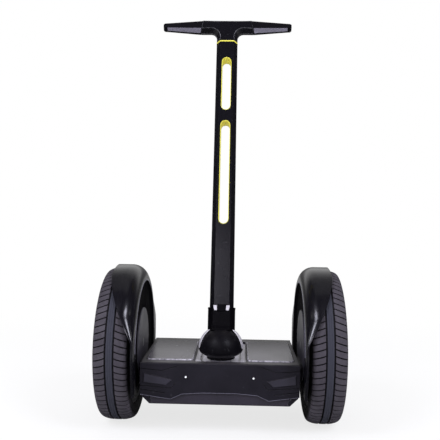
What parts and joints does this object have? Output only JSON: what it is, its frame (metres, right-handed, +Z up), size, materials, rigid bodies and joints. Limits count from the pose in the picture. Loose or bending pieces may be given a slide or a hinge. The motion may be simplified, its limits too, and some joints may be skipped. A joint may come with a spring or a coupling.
{
  "type": "self-balancing scooter",
  "caption": "Self-balancing board with air-filled tyres under swept fenders, pressable foot pads on a flat deck, and a leaning post with a T-shaped handlebar.",
  "frame": {"origin": "on the ground, midway between the wheels, under the axle line", "axes": "+Z up, -Y the front of the vehicle (the side that the picture shows), +X the right side of the picture"},
  "size_m": [0.617, 0.425, 1.1307],
  "materials": {
    "cast_alloy": "sand cast, dull",
    "rim_alloy": "painted dark, satin",
    "deck_grey": "satin moulded",
    "satin_black": "satin moulded",
    "belly_grey": "fine texture",
    "silver_trim": "silver paint, satin",
    "gloss_black": "gloss moulded",
    "plate_grey": "satin powder coat",
    "steel": "turned",
    "windings": "laminated core with copper windings",
    "battery_wrap": "heat shrink film",
    "circuit_board": "solder mask",
    "bronze": "sintered, dull",
    "buffer_rubber": "matte",
    "lamp_lens": "clear white lens",
    "red_lens": "clear red lens",
    "tyre_rubber": "matte with a central rib",
    "motor_black": "satin",
    "post_black": "satin powder coat",
    "yellow_liner": "satin moulded",
    "grip_rubber": "soft matte",
    "pad_rubber": "satin, finely grained"
  },
  "bodies": {
    "chassis": {"chassis_tub": "cast_alloy", "deck_cover": "deck_grey", "front_fascia": "satin_black", "rear_fascia": "satin_black", "belly_cover": "belly_grey", "console_trim": "silver_trim", "left_fender": "gloss_black", "right_fender": "gloss_black", "left_axle_plate": "plate_grey", "right_axle_plate": "plate_grey", "left_axle": "steel", "right_axle": "steel", "left_stator": "windings", "right_stator": "windings", "battery_pack": "battery_wrap", "power_controller": "cast_alloy", "pad_switch_board": "circuit_board", "steering_pedestal": "cast_alloy", "pivot_shaft": "steel", "pivot_bush": "bronze", "centring_buffer": "buffer_rubber", "left_headlamp": "lamp_lens", "right_headlamp": "lamp_lens", "tail_lamp": "red_lens", "charging_socket": "steel", "stand_bracket": "steel", "stand_pin": "steel"},
    "left_wheel": {"left_tyre": "tyre_rubber", "left_rim": "rim_alloy", "left_motor_shell": "motor_black", "left_motor_end_plate": "motor_black", "left_inner_bearing": "steel", "left_outer_bearing": "steel", "left_hub_cap": "motor_black"},
    "right_wheel": {"right_tyre": "tyre_rubber", "right_rim": "rim_alloy", "right_motor_shell": "motor_black", "right_motor_end_plate": "motor_black", "right_inner_bearing": "steel", "right_outer_bearing": "steel", "right_hub_cap": "motor_black"},
    "steering": {"steering_knuckle": "cast_alloy", "ball_cover": "gloss_black", "left_ball_trim": "silver_trim", "right_ball_trim": "silver_trim", "post_sleeve": "gloss_black", "post_tube": "post_black", "upper_slot_liner": "yellow_liner", "lower_slot_liner": "yellow_liner", "post_ring": "yellow_liner", "handlebar": "post_black", "left_grip": "grip_rubber", "right_grip": "grip_rubber"},
    "latch": {"latch_button": "satin_black"},
    "left_pad": {"left_foot_pad": "pad_rubber"},
    "right_pad": {"right_foot_pad": "pad_rubber"},
    "stand": {"stand_leg": "steel", "stand_boot": "buffer_rubber"},
    "power_switch": {"power_button": "silver_trim"},
    "charging_flap": {"port_cap": "grip_rubber"}
  },
  "joints": [
    {"name": "left_wheel_spin", "type": "hinge", "parent": "chassis", "child": "left_wheel", "pos_m": [-0.2665, 0, 0.20202], "axis": [1, 0, 0], "continuous": true},
    {"name": "right_wheel_spin", "type": "hinge", "parent": "chassis", "child": "right_wheel", "pos_m": [0.2665, 0, 0.20202], "axis": [1, 0, 0], "continuous": true},
    {"name": "steering_lean", "type": "hinge", "parent": "chassis", "child": "steering", "pos_m": [0, -0.065, 0.2005], "axis": [0, 1, 0], "range_deg": [-12, 12], "stiffness_Nm_per_rad": 90},
    {"name": "latch_press", "type": "slide", "parent": "steering", "child": "latch", "axis": [0, 0.9636, -0.2672], "range_m": [0, 0.0023], "stiffness_N_per_m": 1500, "springref_m": -0.0004},
    {"name": "left_pad_press", "type": "slide", "parent": "chassis", "child": "left_pad", "axis": [0, 0, -1], "range_m": [0, 0.0025], "stiffness_N_per_m": 8000, "springref_m": -0.0006},
    {"name": "right_pad_press", "type": "slide", "parent": "chassis", "child": "right_pad", "axis": [0, 0, -1], "range_m": [0, 0.0025], "stiffness_N_per_m": 8000, "springref_m": -0.0006},
    {"name": "stand_fold", "type": "hinge", "parent": "chassis", "child": "stand", "pos_m": [0, 0.118, 0.068], "axis": [-1, 0, 0], "range_deg": [0, 118]},
    {"name": "power_press", "type": "slide", "parent": "chassis", "child": "power_switch", "axis": [0, -1, 0], "range_m": [0, 0.0018], "stiffness_N_per_m": 800, "springref_m": -0.0005},
    {"name": "flap_swing", "type": "hinge", "parent": "chassis", "child": "charging_flap", "pos_m": [0.09, 0.1522, 0.1529], "axis": [1, 0, 0], "range_deg": [0, 120]}
  ]
}
